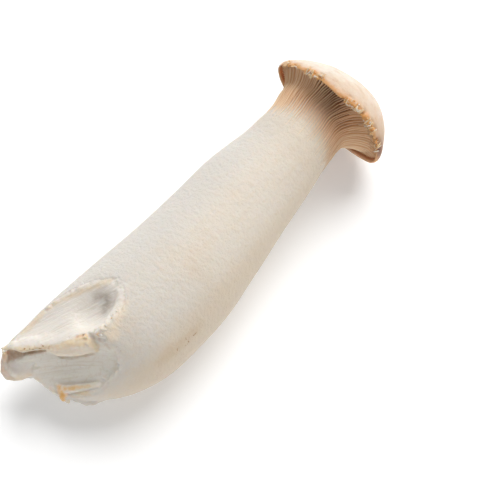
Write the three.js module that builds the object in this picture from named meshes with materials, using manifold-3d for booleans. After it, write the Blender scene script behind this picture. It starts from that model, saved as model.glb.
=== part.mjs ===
// A king oyster mushroom, lying on its side as picked: one fruiting body, with its stem, gills and cap grown
// together. Millimetres. +X runs along the stem from the torn base to the cap, +Y to the left of that and +Z up.
// The origin is on the surface it rests on, under the middle of its box.
import * as THREE from "three";
import { mergeVertices } from "three/addons/utils/BufferGeometryUtils.js";
import Module from "manifold-3d";

const wasm = await Module();
wasm.setup();

// ---- Driving dimensions ----
// The sizes below are given along the stem from where it was torn off, to the left of the cap's middle, and up
// from it, before the mushroom is rolled over to lie at rest.

const ROLL = THREE.MathUtils.degToRad(15.4);
const REST_HEIGHT = 22.9; // of the cap's middle over the surface it lies on
const GILLS = 60; // coarser than the real ones, which stand 1 mm apart

// Sections of the skin from the torn tip to the crown of the cap: where the section's middle is, its half width
// and half depth, how far gills stand out of it, and how many rings lead from it to the next one.
const SECTIONS = [
  { along: 3.0, left: 17.5, up: -9.0, wide: 0.0, deep: 0.0, gill: 0.0, rings: 1 },
  { along: 4.2, left: 16.5, up: -9.0, wide: 4.6, deep: 4.2, gill: 0.0, rings: 1 },
  { along: 7.0, left: 14.0, up: -8.3, wide: 9.5, deep: 8.2, gill: 0.0, rings: 2 },
  { along: 12.0, left: 10.2, up: -6.6, wide: 14.4, deep: 12.6, gill: 0.0, rings: 2 },
  { along: 18.5, left: 6.4, up: -4.8, wide: 17.9, deep: 16.6, gill: 0.0, rings: 2 },
  { along: 27.0, left: 3.5, up: -3.0, wide: 20.7, deep: 19.8, gill: 0.0, rings: 2 },
  { along: 38.5, left: 1.0, up: -1.9, wide: 22.1, deep: 21.4, gill: 0.0, rings: 2 },
  { along: 52.0, left: -0.3, up: -1.7, wide: 22.1, deep: 21.6, gill: 0.0, rings: 2 },
  { along: 68.0, left: -1.1, up: -1.5, wide: 21.6, deep: 21.2, gill: 0.0, rings: 2 },
  { along: 86.0, left: -0.5, up: -1.2, wide: 19.9, deep: 19.6, gill: 0.0, rings: 2 },
  { along: 104.0, left: 0.4, up: -0.8, wide: 17.5, deep: 17.2, gill: 0.0, rings: 2 },
  { along: 120.0, left: 1.1, up: -0.4, wide: 15.2, deep: 15.0, gill: 0.0, rings: 1 },
  { along: 128.0, left: 1.6, up: -0.1, wide: 14.2, deep: 14.2, gill: 0.0, rings: 2 },
  { along: 135.0, left: 2.0, up: 0.2, wide: 13.2, deep: 13.4, gill: 0.8, rings: 2 },
  { along: 140.5, left: 2.1, up: 0.4, wide: 13.0, deep: 13.3, gill: 1.6, rings: 2 },
  { along: 144.3, left: 1.9, up: 0.4, wide: 13.9, deep: 14.2, gill: 2.2, rings: 2 },
  { along: 147.8, left: 1.3, up: 0.3, wide: 16.2, deep: 16.4, gill: 2.8, rings: 2 },
  { along: 150.2, left: 0.5, up: 0.2, wide: 19.2, deep: 19.2, gill: 2.4, rings: 1 },
  { along: 150.4, left: 0.0, up: 0.0, wide: 21.2, deep: 21.0, gill: 1.2, rings: 1 },
  { along: 148.6, left: -0.4, up: 0.0, wide: 22.4, deep: 21.9, gill: 0.0, rings: 1 },
  { along: 146.8, left: -0.5, up: 0.0, wide: 23.1, deep: 22.7, gill: 0.0, rings: 1 },
  { along: 147.8, left: -0.6, up: 0.0, wide: 23.8, deep: 23.4, gill: 0.0, rings: 1 },
  { along: 150.2, left: -0.8, up: 0.0, wide: 23.5, deep: 23.0, gill: 0.0, rings: 2 },
  { along: 153.6, left: -1.3, up: 0.0, wide: 21.2, deep: 20.8, gill: 0.0, rings: 2 },
  { along: 156.6, left: -2.0, up: 0.0, wide: 17.6, deep: 17.2, gill: 0.0, rings: 2 },
  { along: 159.0, left: -2.9, up: 0.0, wide: 12.6, deep: 12.3, gill: 0.0, rings: 2 },
  { along: 160.5, left: -3.6, up: 0.0, wide: 6.4, deep: 6.4, gill: 0.0, rings: 2 },
  { along: 161.0, left: -4.0, up: 0.0, wide: 0.0, deep: 0.0, gill: 0.0, rings: 0 },
];
const NECK = 12; // the section where the gills begin
const GILL_END = 19; // the section where they end, inside the rim
const RIM = 21; // the section at the widest part of the cap

// Scars where its neighbours were torn away. Each is a hollow: its deepest place, the way its floor faces, the way
// it runs, and its half length, half width and depth.
const UPPER_SCAR = {
  floor: [27.5, 14.1, 7.8],
  facing: [-0.24, 0.57, 0.79],
  runs: [0.85, -0.33, 0.42],
  half: [27.5, 11.3, 3.6],
};
const DENT = {
  floor: [40, 10, 12.4],
  facing: [-0.3, 0.5, 0.8],
  runs: UPPER_SCAR.runs,
  half: [9, 6, 5],
};
const LOWER_SCAR = {
  floor: [17.6, 10, 3.2],
  facing: [-0.72, -0.3, 0.61],
  runs: [0.6, -0.61, 0.49],
  half: [22, 15, 4.6],
};
const OPENING = 4; // how much taller a hollow's cutter is above its widest place than below it

// A fold of torn flesh that stands along the ridge between the scars, in the same terms.
const FOLD = {
  floor: [22.6, 7.8, 9.6],
  facing: [-0.6, 0.1, 0.8],
  runs: [0.57, -0.655, 0.5],
  half: [10, 4.4, 2.4],
};

// ---- Skin ----

const SPANS = SECTIONS.length - 1;
const alongSections = (points) => new THREE.CatmullRomCurve3(points, false, "catmullrom", 0.5);
const middles = alongSections(SECTIONS.map((s) => new THREE.Vector3(s.along, s.left, s.up)));
const sizes = alongSections(SECTIONS.map((s) => new THREE.Vector3(s.wide, s.deep, s.gill)));

// How much of the cap's unevenness a place has: all of it at the rim, and none at the neck and the crown.
function unevenness(place) {
  const { smoothstep } = THREE.MathUtils;
  return smoothstep(place, NECK + 2, GILL_END) * (1 - smoothstep(place, RIM, SPANS));
}

// One ring of points at a place along the sections, from 0 to SPANS. Where it has gills, every second one of its
// points stands out from the skin, square to it.
function ring(place) {
  const middle = middles.getPoint(place / SPANS);
  const size = sizes.getPoint(place / SPANS);
  const step = 0.01;
  const spread = sizes.getPoint((place + step) / SPANS).x - sizes.getPoint((place - step) / SPANS).x;
  const advance = middles.getPoint((place + step) / SPANS).x - middles.getPoint((place - step) / SPANS).x;
  const slope = Math.hypot(spread, advance);
  const uneven = unevenness(place);
  const gilled = place > NECK && place < GILL_END;
  const count = gilled ? 2 * GILLS : GILLS;
  return Array.from({ length: count }, (_, i) => {
    const angle = (i / count) * 2 * Math.PI;
    const lobes = 1 + uneven * (0.01 * Math.cos(3 * angle + 0.9) + 0.008 * Math.cos(5 * angle + 2));
    const tilt = 0.5 * Math.cos(angle) - 1.8 * Math.sin(angle);
    const wave = uneven * (tilt - 1.1 * Math.cos(2 * angle) + 0.7 * Math.cos(3 * angle + 0.8));
    const gill = gilled && i % 2 ? size.z : 0;
    const out = (gill * advance) / slope;
    const back = (gill * spread) / slope;
    return new THREE.Vector3(
      middle.x - back + wave,
      middle.y + (size.x * lobes + out) * Math.cos(angle),
      middle.z + (size.y * lobes + out) * Math.sin(angle),
    );
  });
}

// Triangles between two rings, where the second may have twice or half as many points as the first.
function strip(a, b) {
  const count = Math.min(a.length, b.length);
  const stepA = a.length / count;
  const stepB = b.length / count;
  const faces = [];
  for (let i = 0; i < count; i++) {
    const a0 = a[i * stepA];
    const a1 = a[((i + 1) * stepA) % a.length];
    const b0 = b[i * stepB];
    const b1 = b[((i + 1) * stepB) % b.length];
    const between = stepA > stepB ? a[i * stepA + 1] : b[i * stepB + 1];
    if (stepA > stepB) faces.push([a0, between, b0], [between, b1, b0], [between, a1, b1]);
    else if (stepB > stepA) faces.push([a0, between, b0], [a0, a1, between], [a1, b1, between]);
    else faces.push([a0, a1, b1], [a0, b1, b0]);
  }
  return faces;
}

function skin() {
  const places = SECTIONS.flatMap(({ rings }, i) => Array.from({ length: rings }, (_, k) => i + k / rings));
  const rings = places.filter((place) => place > 0).map(ring);
  const tip = middles.getPoint(0);
  const crown = middles.getPoint(1);
  const faces = [];
  rings.slice(1).forEach((next, i) => faces.push(...strip(rings[i], next)));
  const first = rings[0];
  const last = rings[rings.length - 1];
  first.forEach((point, i) => faces.push([tip, first[(i + 1) % first.length], point]));
  last.forEach((point, i) => faces.push([crown, point, last[(i + 1) % last.length]]));
  return solid(new THREE.BufferGeometry().setFromPoints(faces.flat()));
}

// ---- Solids ----

function solid(geometry) {
  geometry.deleteAttribute("normal");
  geometry.deleteAttribute("uv");
  const merged = mergeVertices(geometry, 1e-4);
  return new wasm.Manifold(
    new wasm.Mesh({
      numProp: 3,
      vertProperties: merged.attributes.position.array,
      triVerts: new Uint32Array(merged.index.array),
    }),
  );
}

// An ellipsoid that touches the place "floor" from the side that it faces. Its outer half is stretched.
function ellipsoid({ floor, facing, runs, half: [length, width, depth] }, columns, rows, stretch = 1) {
  const out = new THREE.Vector3(...facing).normalize();
  const across = new THREE.Vector3(...runs).cross(out).normalize();
  const lengthways = new THREE.Vector3().crossVectors(out, across);
  const geometry = new THREE.SphereGeometry(1, columns, rows).rotateZ(Math.PI / 2);
  const { position } = geometry.attributes;
  for (let i = 0; i < position.count; i++) {
    if (position.getX(i) > 0) position.setX(i, position.getX(i) * stretch);
  }
  geometry.scale(depth, length, width);
  geometry.applyMatrix4(new THREE.Matrix4().makeBasis(out, lengthways, across.negate()));
  geometry.translate(...new THREE.Vector3(...floor).addScaledVector(out, depth));
  return solid(geometry);
}

// ---- The mushroom ----

let body = skin();
for (const scar of [UPPER_SCAR, DENT, LOWER_SCAR]) body = body.subtract(ellipsoid(scar, 36, 24, OPENING));
body = body.add(ellipsoid(FOLD, 20, 14));

const { vertProperties, numProp, triVerts } = body.getMesh();
const position = new THREE.BufferAttribute(new Float32Array(vertProperties), numProp);
const geometry = new THREE.BufferGeometry();
geometry.setAttribute("position", position);
geometry.setIndex(new THREE.BufferAttribute(triVerts, 1));
geometry.rotateX(ROLL);
geometry.translate(0, 0, REST_HEIGHT);
// Its soft flesh lies flat on the surface.
for (let i = 0; i < position.count; i++) position.setZ(i, Math.max(position.getZ(i), 0));
geometry.computeBoundingBox();
const middle = geometry.boundingBox.getCenter(new THREE.Vector3());
geometry.translate(-middle.x, -middle.y, 0);
geometry.computeVertexNormals();

const mushroom = new THREE.Mesh(
  geometry,
  new THREE.MeshStandardMaterial({ color: 0xe3d9cb, roughness: 0.75, metalness: 0 }),
);
mushroom.name = "mushroom";

const group = new THREE.Group();
group.add(mushroom);
export default group;
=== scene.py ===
# A king oyster mushroom as picked, lying on its side: flesh with its torn base, gills and the crumbled margin
# of its cap, on a plain pale floor. It is an add-on with an operator for each piece or group of pieces.
import math

import bmesh
import bpy
import numpy as np
from bpy.props import FloatProperty, FloatVectorProperty, IntProperty, PointerProperty
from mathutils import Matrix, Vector


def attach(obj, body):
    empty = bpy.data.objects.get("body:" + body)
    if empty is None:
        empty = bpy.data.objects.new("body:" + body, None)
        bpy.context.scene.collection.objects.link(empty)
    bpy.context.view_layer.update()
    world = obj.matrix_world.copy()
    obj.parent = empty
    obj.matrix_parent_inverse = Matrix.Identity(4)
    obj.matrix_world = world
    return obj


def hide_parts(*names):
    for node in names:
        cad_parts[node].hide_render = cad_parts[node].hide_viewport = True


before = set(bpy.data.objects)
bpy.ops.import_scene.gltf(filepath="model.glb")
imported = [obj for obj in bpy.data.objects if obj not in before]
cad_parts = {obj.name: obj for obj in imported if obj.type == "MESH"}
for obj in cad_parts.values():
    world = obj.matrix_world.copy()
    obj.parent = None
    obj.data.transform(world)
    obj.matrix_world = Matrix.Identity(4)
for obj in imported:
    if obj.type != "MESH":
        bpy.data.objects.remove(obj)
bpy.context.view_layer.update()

bl_info = {
    "name": "King oyster mushroom",
    "version": (1, 0, 0),
    "blender": (4, 5, 0),
    "location": "3D View > Sidebar > Mushroom",
    "description": "Builds a king oyster mushroom that lies on its side, with its gills and its torn base",
    "category": "Add Mesh",
}

NODE = "mushroom"
MM = 0.001

# ---- The shape, in millimetres ----
# Along the stem from where it was torn off, to the left of the cap's middle, and up from it, before the
# mushroom is rolled over to lie at rest.

ROLL = math.radians(15.4)
REST_HEIGHT = 22.9
BOX_MIDDLE = (82.0, 0.943)

# Sections of the skin from the torn tip to the crown of the cap: along, left, up, half width, half depth.
SECTIONS = np.array([
    (3.0, 17.5, -9.0, 0.0, 0.0),
    (4.2, 16.5, -9.0, 4.6, 4.2),
    (7.0, 14.0, -8.3, 9.5, 8.2),
    (12.0, 10.2, -6.6, 14.4, 12.6),
    (18.5, 6.4, -4.8, 17.9, 16.6),
    (27.0, 3.2, -2.9, 20.9, 19.8),
    (38.5, 0.5, -1.7, 22.6, 21.4),
    (52.0, -0.7, -1.6, 22.6, 21.6),
    (68.0, -1.3, -1.4, 21.7, 21.2),
    (86.0, -0.5, -1.2, 19.8, 19.6),
    (104.0, 0.8, -0.8, 18.0, 17.2),
    (120.0, 0.8, -0.4, 15.5, 15.0),
    (128.0, 1.3, -0.1, 14.5, 14.2),
    (135.0, 1.7, 0.2, 13.6, 13.4),
    (140.5, 2.5, 0.4, 13.3, 13.3),
    (144.3, 1.9, 0.4, 13.9, 14.2),
    (147.8, 1.3, 0.3, 16.2, 16.4),
    (150.2, 0.5, 0.2, 19.2, 19.2),
    (150.4, 0.0, 0.0, 21.2, 21.0),
    (148.6, -0.1, 0.0, 22.9, 21.9),
    (146.8, -0.2, 0.0, 23.7, 22.7),
    (147.8, -0.4, 0.0, 24.2, 23.4),
    (150.2, -0.7, 0.0, 23.7, 23.0),
    (153.6, -1.3, 0.0, 21.2, 20.8),
    (156.6, -2.0, 0.0, 17.6, 17.2),
    (159.0, -2.9, 0.0, 12.6, 12.3),
    (160.5, -3.6, 0.0, 6.4, 6.4),
    (161.0, -4.0, 0.0, 0.0, 0.0),
])
SPANS = len(SECTIONS) - 1
NECK = 12
GILL_END = 19
RIM = 21

# Hollows of the torn base: deepest place, the way the floor faces, the way it runs, half length, width and
# depth.
UPPER_SCAR = {"floor": (28.0, 13.9, 8.0), "facing": (-0.24, 0.57, 0.79), "runs": (0.85, -0.36, 0.42),
              "half": (29.0, 11.6, 3.6)}
DENT = {"floor": (37.6, 9.7, 10.9), "facing": (-0.5, 0.42, 0.75), "runs": (0.85, -0.33, 0.42),
        "half": (8.6, 5.4, 4.2)}
LOWER_SCAR = {"floor": (17.6, 10.0, 3.2), "facing": (-0.72, -0.3, 0.61), "runs": (0.6, -0.61, 0.49),
              "half": (22.0, 15.0, 4.6)}
OPENING = 4.0
OVER_SCAR = (-0.27, 0.58, 0.77)
UNDER_SCAR = (-0.77, 0.04, 0.64)

# The notch under the tongue: a place on each of its two walls and the way that the cut lies from it.
NOTCH = (((7.9, 11.9, -5.0), (-0.98, -0.1, -0.16)), ((8.1, 12.2, -6.0), (-0.62, -0.78, 0.0)))

# Forms of the torn base: whether it adds flesh or cuts it, the way it faces, how flat it is that way, the
# rounding where it meets the rest, and the points that it follows (along, left, up, half width).
FORM_MARGIN = 2.5
ADDS, CUTS = True, False
FORMS = (
    # Thin sheet that overhangs the lower scar, along the ridge between the scars.
    (ADDS, OVER_SCAR, 0.34, 0.9,
     ((7.4, 24.2, -2.1, 1.1), (10.2, 22.4, -0.8, 1.8), (13.3, 20.0, 1.0, 2.2), (16.0, 17.1, 3.0, 2.2),
      (18.1, 14.7, 4.6, 2.2), (20.5, 12.4, 6.0, 2.2))),
    # Shadowed slot under the sheet.
    (CUTS, (-0.5, 0.2, 0.84), 0.45, 0.6,
     ((7.0, 21.4, -3.6, 2.5), (9.3, 20.4, -2.0, 2.4), (12.0, 18.6, -0.3, 1.9), (14.6, 15.8, 1.8, 1.1),
      (16.6, 13.5, 3.3, 0.5))),
    # Bowl of the tongue, its raised rim and the small creases beside it.
    (CUTS, UNDER_SCAR, 0.32, 1.5,
     ((6.5, 20.0, -3.4, 2.2), (6.3, 17.2, -4.4, 2.7), (7.8, 14.8, -4.2, 2.0))),
    (ADDS, UNDER_SCAR, 1.0, 1.6,
     ((6.8, 22.4, -3.4, 0.9), (4.8, 21.2, -4.7, 1.0), (3.0, 19.3, -6.2, 1.0), (2.6, 16.8, -7.6, 0.9),
      (4.0, 14.9, -7.6, 0.9), (5.8, 13.4, -7.2, 0.9), (8.1, 12.4, -6.4, 0.7))),
    (CUTS, UNDER_SCAR, 1.0, 0.5,
     ((11.2, 13.5, -2.2, 0.2), (9.6, 12.9, -3.6, 0.4), (8.6, 13.6, -4.6, 0.2))),
    (CUTS, UNDER_SCAR, 1.0, 0.5,
     ((9.0, 12.2, -4.2, 0.2), (9.6, 12.9, -3.6, 0.4), (11.6, 11.6, -2.4, 0.2))),
    # Thick fold over the lower scar, under the end of the upper one, and the dry top of it.
    (ADDS, (-0.7, -0.1, 0.7), 0.75, 0.7,
     ((16.6, 12.8, 4.2, 0.7), (18.6, 10.4, 5.2, 1.7), (21.3, 7.9, 7.6, 2.5), (23.7, 5.5, 10.2, 2.6),
      (25.4, 3.3, 11.8, 1.8))),
    (ADDS, OVER_SCAR, 0.7, 0.7,
     ((19.4, 11.0, 6.8, 0.6), (22.0, 9.1, 9.2, 1.0), (24.2, 7.2, 11.4, 1.1), (25.9, 5.0, 12.9, 1.1),
      (26.4, 2.9, 12.4, 0.9), (26.0, 1.5, 11.2, 0.7))),
    # Crease under the fold.
    (CUTS, (-0.7, -0.1, 0.7), 1.0, 0.3,
     ((17.5, 9.6, 2.8, 0.2), (18.2, 8.0, 2.8, 0.4), (20.0, 5.6, 4.1, 0.45), (23.4, 2.8, 7.2, 0.45),
      (26.1, 0.8, 10.6, 0.25))),
    # Crack above the fold, which runs on under the edge of the skin.
    (CUTS, (0.3, -0.8, 0.4), 0.16, 0.3,
     ((22.6, 11.0, 10.2, 0.5), (24.3, 9.1, 11.6, 1.2), (27.0, 6.7, 14.8, 1.4))),
    (CUTS, (0.3, -0.8, 0.4), 0.2, 0.4,
     ((27.0, 6.7, 14.8, 1.2), (28.1, 3.7, 16.2, 1.2), (28.9, 0.9, 16.6, 1.0), (28.7, -1.2, 15.3, 0.5))),
    # Rolled edge under the lower scar, the crease above it and the rags below it.
    (ADDS, UNDER_SCAR, 0.9, 0.4,
     ((11.6, 2.9, -4.2, 0.8), (11.3, 0.8, -4.1, 1.6), (10.8, -0.6, -4.8, 1.6), (10.0, -1.3, -6.0, 1.1))),
    (ADDS, UNDER_SCAR, 0.8, 0.6,
     ((11.9, 0.2, -3.5, 1.2), (15.4, -3.1, -1.0, 1.1), (17.8, -5.1, 1.2, 0.9), (19.7, -6.7, 3.1, 0.6))),
    (CUTS, UNDER_SCAR, 1.3, 0.3,
     ((12.4, 3.1, -3.4, 0.2), (13.9, 1.3, -2.4, 0.35), (16.0, -1.1, -0.8, 0.3), (18.4, -3.5, 1.4, 0.15))),
    (ADDS, UNDER_SCAR, 0.7, 0.8,
     ((10.8, -1.6, -6.2, 1.2), (10.4, -3.6, -7.4, 0.5))),
    (ADDS, (-0.5, -0.7, 0.5), 0.8, 1.0,
     ((13.0, -5.0, -6.2, 1.2), (15.0, -8.0, -7.2, 1.7), (16.6, -9.4, -7.2, 1.7), (18.8, -10.6, -6.8, 1.3))),
    # Torn rim at the right of the upper scar and the scraps at its corner.
    (ADDS, OVER_SCAR, 0.5, 1.4,
     ((45.5, 8.2, 17.9, 0.8), (41.0, 6.4, 17.4, 1.0), (37.2, 5.2, 17.6, 1.0), (34.0, 4.8, 17.6, 1.0),
      (31.4, 4.8, 17.2, 0.9))),
    (ADDS, OVER_SCAR, 0.6, 0.3,
     ((31.6, 5.1, 17.8, 0.8), (30.8, 4.6, 18.0, 0.8))),
    (ADDS, OVER_SCAR, 0.6, 0.3,
     ((29.9, 5.8, 16.4, 0.8), (29.2, 5.1, 17.0, 0.6))),
)

# Stains on the torn base, and painted shade in its slots, creases, dent and tongue: strength, and the points
# (along, left, up, reach) that each follows.
STAINS_AND_SHADE = {
    "straw": (
        (0.75, ((6.2, 23.6, -1.6, 1.4), (8.9, 21.5, 0.2, 0.9), (11.9, 18.9, 2.0, 0.8), (14.6, 16.0, 4.0, 0.7),
                (16.7, 13.6, 5.6, 0.7), (19.0, 11.4, 7.0, 0.6))),
        (0.5, ((7.2, 23.8, -2.0, 1.2), (11.5, 24.2, -3.4, 1.4))),
        (0.75, ((19.4, 10.8, 7.4, 0.7), (22.2, 9.0, 9.9, 1.3), (24.4, 7.1, 12.1, 1.5), (26.2, 4.9, 13.6, 1.4),
                (26.8, 2.7, 13.0, 1.1), (26.2, 1.3, 11.6, 0.8))),
        (0.5, ((46.7, 13.7, 15.8, 0.7), (42.2, 15.6, 12.6, 0.8), (38.7, 17.3, 10.6, 0.8),
               (33.1, 20.5, 6.8, 0.7),
               (28.4, 22.2, 4.2, 0.5), (24.4, 23.1, 2.4, 0.9), (21.2, 23.2, 1.2, 1.2),
               (16.0, 23.6, -0.6, 0.8))),
        (0.45, ((2.2, 16.8, -7.4, 0.8), (3.8, 14.7, -7.2, 0.9), (6.0, 13.0, -6.6, 0.8),
                (8.3, 12.2, -5.6, 0.5))),
        (0.5, ((8.2, 9.6, -5.4, 0.5), (8.6, 5.0, -5.4, 0.6), (9.2, 1.5, -5.4, 0.6))),
        (0.5, ((10.6, -3.4, -6.9, 0.9), (11.4, -3.0, -6.0, 0.4))),
        (0.65, ((13.6, -3.6, -2.4, 0.5), (15.2, -5.4, -0.9, 0.9), (16.4, -6.6, -0.2, 0.5))),
        (0.4, ((19.6, -9.6, 1.0, 0.5), (22.5, -10.4, 4.4, 0.4))),
        (0.35, ((29.8, -1.0, 16.4, 0.4), (29.5, -4.3, 14.8, 0.4), (28.4, -6.5, 12.6, 0.35),
                (26.6, -8.0, 10.0, 0.3))),
        (0.45, ((12.1, -3.4, -3.8, 0.5), (14.3, -5.6, -2.6, 0.6))),
        (0.55, ((14.0, -1.6, -1.2, 0.6), (16.6, -4.2, 0.8, 0.6), (19.2, -6.3, 3.0, 0.4))),
    ),
    "orange": (
        (0.95, ((11.6, 2.6, -3.6, 0.5), (11.0, 0.9, -3.2, 1.0), (10.4, -0.6, -4.2, 1.3),
                (9.7, -1.5, -5.6, 0.9))),
        (0.7, ((11.9, 0.4, -2.6, 0.8), (14.2, -1.8, -1.0, 0.5))),
        (0.4, ((14.2, -1.8, -1.0, 0.6), (17.6, -4.9, 1.8, 0.4))),
        (0.7, ((24.3, 9.4, 10.6, 0.3), (25.4, 8.7, 11.2, 0.4), (27.1, 6.7, 13.6, 0.4))),
        (0.6, ((28.9, 4.3, 17.4, 0.4), (29.3, 4.2, 17.8, 0.4))),
    ),
    # Painted shade: the slot under the sheet, the inside of the tongue's rim, the crack, the scar's edge and
    # the creases by the fold and the roll.
    "brown_and_painted_shade": (
        (0.85, ((7.0, 21.4, -3.9, 1.9), (9.2, 20.1, -2.6, 1.6), (11.7, 18.2, -0.4, 1.1),
                (14.3, 15.5, 1.8, 0.7),
               (16.3, 13.2, 3.4, 0.4))),
        (0.5, ((6.4, 21.8, -3.2, 1.2), (4.6, 21.3, -4.2, 0.9), (3.2, 20.1, -5.3, 0.9), (2.5, 18.5, -6.2, 0.8),
               (2.6, 17.2, -6.7, 0.6))),
        (0.45, ((27.4, 6.0, 14.4, 0.4), (28.3, 3.5, 15.0, 0.5), (28.9, 0.3, 15.6, 0.4),
                (28.6, -1.9, 14.8, 0.3))),
        (0.25, ((28.9, -1.0, 15.2, 0.2), (28.6, -3.7, 13.6, 0.2), (27.6, -5.7, 11.8, 0.2),
                (26.1, -7.1, 9.6, 0.1))),
        (0.35, ((12.3, 2.5, -3.9, 0.2), (13.9, 0.8, -2.8, 0.25), (15.6, -1.4, -1.4, 0.2),
                (18.0, -3.6, 0.6, 0.1))),
        (0.35, ((18.0, 8.1, 2.8, 0.3), (20.0, 5.6, 4.1, 0.4), (23.4, 2.8, 7.2, 0.4), (26.1, 0.8, 10.6, 0.3))),
        (0.15, ((9.2, 13.0, -3.9, 0.3), (10.2, 12.3, -3.7, 0.4), (11.3, 12.6, -2.9, 0.3))),
    ),
    "tan": (
        (0.55, ((16.6, 12.8, 4.6, 1.0), (18.6, 9.6, 5.2, 2.0), (21.3, 6.6, 7.6, 2.6),
                (23.7, 4.0, 10.0, 2.4))),
        (0.6, ((32.3, 3.6, 18.7, 1.4), (32.2, 1.4, 18.4, 2.4), (34.6, 2.2, 19.0, 1.2))),
        (0.6, ((36.0, 3.2, 19.4, 1.1), (39.6, 4.0, 19.8, 1.1), (43.0, 4.8, 19.8, 0.8))),
    ),
    "blotch": (
        (0.7, ((37.0, -16.8, 12.4, 0.6), (42.6, -17.2, 12.8, 1.9), (47.4, -17.9, 12.2, 1.5),
               (55.0, -17.8, 12.4, 0.6))),
    ),
    # Painted shade: the dent's wall that faces away from the light, and a little inside the tongue's bowl.
    "shade_grey": (
        (1.0, ((39.4, 13.3, 11.1, 0.3), (40.8, 11.3, 12.6, 0.8), (40.4, 9.6, 13.2, 0.9),
               (38.9, 8.9, 12.3, 0.9),
               (37.4, 8.1, 12.0, 0.5))),
        (0.3, ((5.4, 19.6, -5.2, 1.5), (5.4, 17.0, -6.4, 1.5))),
    ),
    "specks": (
        (0.9, ((45.4, -18.4, 11.1, 1.2), (49.4, -18.3, 11.6, 1.5), (52.4, -18.0, 12.0, 1.1))),
        (1.0, ((12.2, 18.6, 2.3, 0.7), (15.2, 15.4, 4.6, 0.7), (17.2, 13.2, 6.0, 0.6))),
        (1.0, ((28.8, 3.9, 17.0, 0.7), (29.6, 4.2, 18.0, 0.7))),
        (0.9, ((30.2, -3.9, 16.8, 0.6), (29.8, -4.4, 16.4, 0.6))),
    ),
}
SOFTNESS = {"shade_grey": 1.8, "tan": 1.1, "blotch": 1.8}

# Where a stain is patchy: the noise at which it is weakest and full, and how much of it is left at the
# weakest.
STAIN_UNEVENNESS = {"specks": (0.58, 0.64, 0.0), "orange": (0.34, 0.6, 0.5)}

# Edges of torn flesh that have crumbled: strength, and the points that each follows.
LOOSE = (
    (1.0, ((39.6, 5.4, 18.8, 0.5), (37.4, 5.0, 18.8, 0.6), (34.0, 4.6, 18.8, 0.7), (31.0, 4.4, 18.4, 0.7),
           (29.4, 4.2, 17.4, 0.6))),
    (0.35, ((46.9, 8.1, 18.5, 0.3), (44.1, 6.8, 19.0, 0.3), (39.6, 5.4, 18.8, 0.5))),
    (0.28, ((47.2, 12.6, 16.0, 0.5), (42.3, 15.2, 13.0, 0.5), (35.8, 19.5, 7.9, 0.5), (30.7, 22.0, 4.0, 0.5),
           (26.3, 23.2, 1.4, 0.5))),
)

# The torn base is a net of small quads as far as this. Past it the flesh is in rows, and each stretch of
# them, from one section to another, has its own step.
NET_END = 56.0
NET_STEP = 0.42
NEAR_SURFACE = 3.2
SLOPE_STEP = 0.06
NET_LOW, NET_HIGH = np.array([-1.0, -26.0, -26.0]), np.array([NET_END, 28.0, 22.0])
STRETCHES = (
    (7.4, NECK, 2.2),
    (NECK, 18.0, 0.9),
    (18.0, 22.5, 0.26),
    (22.5, SPANS, 0.9),
)
COLUMNS = 300
SHORTEST_EDGE = 0.015 * MM

# Half the height of a hexagon of radius 1, which is a gill's section before it is shaped.
HALF_HEXAGON = 0.866

# How deep the roots of the gills are sunk into their bed, in metres.
SUNK_AT_NECK = 0.0008
SUNK_AT_RIM = 0.00025

# The least and the most that a crumb is scaled by along each axis.
CRUMB_LEAST = (0.3, 0.3, 0.25)
CRUMB_MOST = (1.5, 1.1, 0.9)
LUMPS_A_METRE = 2200.0

# Where the camera stands, along, left and up as above but once the mushroom has been rolled, and its view.
CAMERA_PLACE = (-85.46, -160.65, 555.1)
CAMERA_AZIMUTH = math.radians(-49.1)
CAMERA_ELEVATION = math.radians(67.3)
CAMERA_LENS = 131.6


def smoothstep(low, high, value):
    t = np.clip((value - low) / (high - low), 0.0, 1.0)
    return t * t * (3.0 - 2.0 * t)


def unit(v):
    v = np.asarray(v, float)
    return v / np.linalg.norm(v, axis=-1, keepdims=True)


def section(place):
    """Middle and half sizes of the skin at a place along the sections, on a Catmull-Rom curve."""
    place = np.asarray(place, float)
    ends = np.vstack([2 * SECTIONS[0] - SECTIONS[1], SECTIONS, 2 * SECTIONS[-1] - SECTIONS[-2]])
    k = np.clip(np.floor(place).astype(int), 0, SPANS - 1)
    w = (place - k)[..., None]
    p0, p1, p2, p3 = ends[k], ends[k + 1], ends[k + 2], ends[k + 3]
    t1, t2 = (p2 - p0) / 2, (p3 - p1) / 2
    return p1 + t1 * w + (3 * (p2 - p1) - 2 * t1 - t2) * w**2 + (2 * (p1 - p2) + t1 + t2) * w**3


def unevenness(place):
    return smoothstep(NECK + 2, GILL_END, place) * (1 - smoothstep(RIM, SPANS, place))


def skin_point(place, angle):
    """A place on the skin, with the lobes and the wave of the cap."""
    along, left, up, wide, deep = np.moveaxis(section(place), -1, 0)
    uneven = unevenness(place)
    lobes = 1 + uneven * (0.01 * np.cos(3 * angle + 0.9) + 0.008 * np.cos(5 * angle + 2))
    tilt = 0.5 * np.cos(angle) - 1.8 * np.sin(angle)
    wave = uneven * (tilt - 1.1 * np.cos(2 * angle) + 0.7 * np.cos(3 * angle + 0.8))
    dip = ((1 + np.cos(angle - 1.6)) / 2) ** 36
    margin = smoothstep(NECK + 2, GILL_END, place) * (1 - smoothstep(RIM, RIM + 2, place))
    wave = wave + margin * (0.45 - 0.15 * np.cos(angle) + 0.55 * np.cos(2 * angle) - 1.4 * dip)
    left = left + wide * lobes * np.cos(angle)
    up = up + deep * lobes * np.sin(angle)
    return np.stack([along + wave, left, up], -1)


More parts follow.
